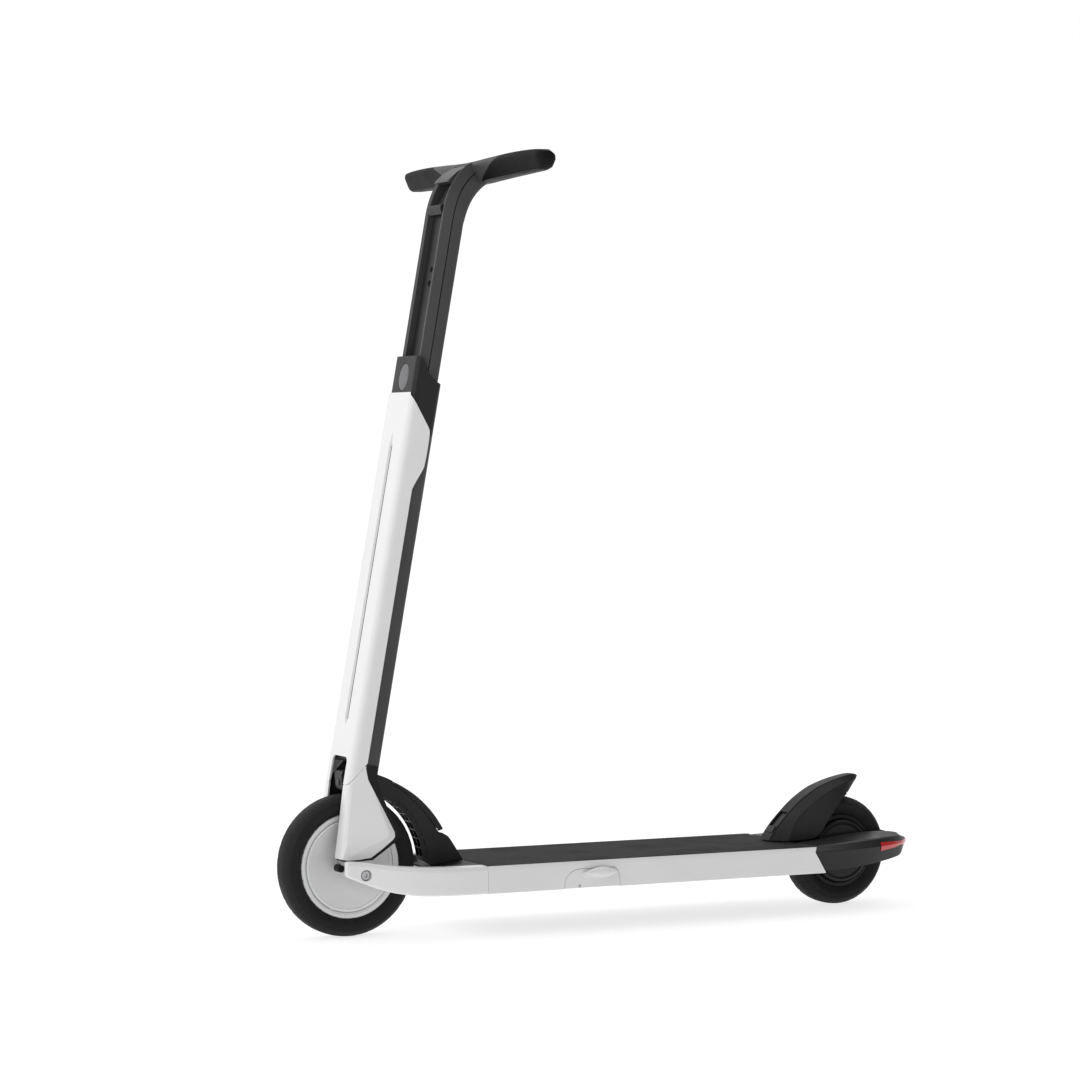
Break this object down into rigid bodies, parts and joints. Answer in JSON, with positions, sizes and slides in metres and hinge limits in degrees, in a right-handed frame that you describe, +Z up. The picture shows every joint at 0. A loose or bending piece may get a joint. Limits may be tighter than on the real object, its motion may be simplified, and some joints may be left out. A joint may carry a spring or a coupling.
{
  "type": "electric kick scooter",
  "caption": "Folding electric kick scooter with telescopic stem, wing handlebar, dished front wheel, flat deck and fin-shaped rear fender.",
  "frame": {"origin": "on the floor, under the middle of the scooter's box", "axes": "+X forward, +Y to the rider's left, +Z up"},
  "size_m": [0.9629, 0.44, 1.038],
  "materials": {
    "white_paint": "satin white paint on aluminium",
    "white_shell": "satin white moulded shells",
    "dark_paint": "dark grey satin paint on aluminium",
    "dark_shell": "dark grey satin moulded shells",
    "black_plastic": "black moulded plastic",
    "rubber": "deck mat and grips",
    "tyre": "tyres",
    "silver": "light silver front wheel",
    "steel": "bolts, pins, axles and bearings",
    "red_lens": "red tail lens",
    "battery_wrap": "battery wrap",
    "button_grey": "grey button"
  },
  "bodies": {
    "chassis": {"deck_tray": "dark_paint", "bottom_cover": "black_plastic", "deck_mat": "rubber", "battery_pack": "battery_wrap", "controller": "silver", "rail_left": "white_paint", "rail_right": "white_paint", "kickstand_pin": "steel", "charge_port": "black_plastic", "arm_left": "white_paint", "arm_right": "white_paint", "pivot_bolt_left": "steel", "pivot_bolt_right": "steel", "tail_shell_left": "dark_shell", "tail_shell_right": "dark_shell", "tail_lens": "red_lens", "nose_plate": "black_plastic", "yoke_bridge": "white_paint", "fold_arc": "dark_shell", "rear_fork": "black_plastic", "rear_stator": "steel", "rear_axle": "steel", "fender_bracket": "black_plastic", "fender_pin": "steel"},
    "kickstand": {"kickstand_leg": "white_paint"},
    "charge_flap": {"charge_cap": "black_plastic"},
    "pedal": {"fold_pedal": "dark_shell"},
    "latch": {"latch_bolt": "steel"},
    "rear_wheel": {"rear_tyre": "tyre", "rear_rim": "black_plastic", "rear_cover_left": "dark_shell", "rear_cover_right": "dark_shell", "rear_bearing": "steel"},
    "rear_brake": {"rear_fender": "dark_shell", "brake_pad": "rubber"},
    "kingpin": {"kingpin_axle": "steel"},
    "column": {"steering_knuckle": "silver", "fork_leg_left": "black_plastic", "fork_leg_right": "black_plastic", "fork_cover_left": "white_shell", "fork_cover_right": "white_shell", "stem_tube": "dark_paint", "stem_cover": "white_shell", "light_strip": "black_plastic", "head_block": "black_plastic", "collar": "dark_shell"},
    "front_wheel": {"front_tyre": "tyre", "front_rim": "silver", "front_disc_left": "silver", "front_disc_right": "silver", "front_bearing": "steel"},
    "release": {"height_button": "button_grey"},
    "handlebar": {"upper_stem": "dark_paint", "handlebar_head": "dark_paint", "grip_left": "rubber", "grip_right": "rubber"},
    "hook": {"bag_hook": "dark_shell"},
    "throttle": {"throttle": "black_plastic"},
    "brake": {"brake_lever": "black_plastic"},
    "power": {"power_button": "black_plastic"}
  },
  "joints": [
    {"name": "fold", "type": "hinge", "parent": "chassis", "child": "kingpin", "pos_m": [0.3865, 0, 0.088], "axis": [0, -1, 0], "range_deg": [0, 69]},
    {"name": "steer", "type": "hinge", "parent": "kingpin", "child": "column", "pos_m": [0.3865, 0, 0.095], "axis": [-0.1754, 0, 0.9845], "range_deg": [-16, 16]},
    {"name": "front_spin", "type": "hinge", "parent": "column", "child": "front_wheel", "pos_m": [0.3865, 0, 0.095], "axis": [0, 1, 0], "continuous": true},
    {"name": "rear_spin", "type": "hinge", "parent": "chassis", "child": "rear_wheel", "pos_m": [-0.3681, 0, 0.0772], "axis": [0, 1, 0], "continuous": true},
    {"name": "height", "type": "slide", "parent": "column", "child": "handlebar", "axis": [-0.1754, 0, 0.9845], "range_m": [-0.15, 0]},
    {"name": "height_release", "type": "slide", "parent": "column", "child": "release", "axis": [-0.9845, 0, -0.1754], "range_m": [0, 0.0014], "stiffness_N_per_m": 900},
    {"name": "hook_swing", "type": "hinge", "parent": "handlebar", "child": "hook", "pos_m": [0.24941, 0, 0.96443], "axis": [0, 1, 0], "range_deg": [0, 55]},
    {"name": "throttle_press", "type": "hinge", "parent": "handlebar", "child": "throttle", "pos_m": [0.1695, -0.092, 1.021], "axis": [0, -1, 0], "range_deg": [0, 15], "stiffness_Nm_per_rad": 0.3},
    {"name": "brake_press", "type": "hinge", "parent": "handlebar", "child": "brake", "pos_m": [0.1695, 0.092, 1.021], "axis": [0, -1, 0], "range_deg": [0, 15], "stiffness_Nm_per_rad": 0.3},
    {"name": "power_press", "type": "slide", "parent": "handlebar", "child": "power", "axis": [0, 0, -1], "range_m": [0, 0.0015], "stiffness_N_per_m": 600},
    {"name": "kickstand_swing", "type": "hinge", "parent": "chassis", "child": "kickstand", "pos_m": [0.0865, 0, 0.061], "axis": [0, -1, 0], "range_deg": [0, 85]},
    {"name": "fender_press", "type": "hinge", "parent": "chassis", "child": "rear_brake", "pos_m": [-0.2655, 0, 0.1005], "axis": [0, -1, 0], "range_deg": [0, 1.5], "stiffness_Nm_per_rad": 60, "springref_deg": -1.72},
    {"name": "pedal_press", "type": "hinge", "parent": "chassis", "child": "pedal", "pos_m": [0.32381, 0, 0.20109], "axis": [0, -1, 0], "range_deg": [0, 2.5], "stiffness_Nm_per_rad": 20, "springref_deg": -1.72},
    {"name": "latch_slide", "type": "slide", "parent": "chassis", "child": "latch", "axis": [-1, 0, 0], "range_m": [0, 0.0031]},
    {"name": "charge_cap_swing", "type": "hinge", "parent": "chassis", "child": "charge_flap", "pos_m": [0.1715, -0.0959, 0.0822], "axis": [-1, 0, 0], "range_deg": [0, 100]}
  ],
  "couplings": [
    {"joint": "latch_slide", "follows": "pedal_press", "m_per_rad": 0.07}
  ]
}
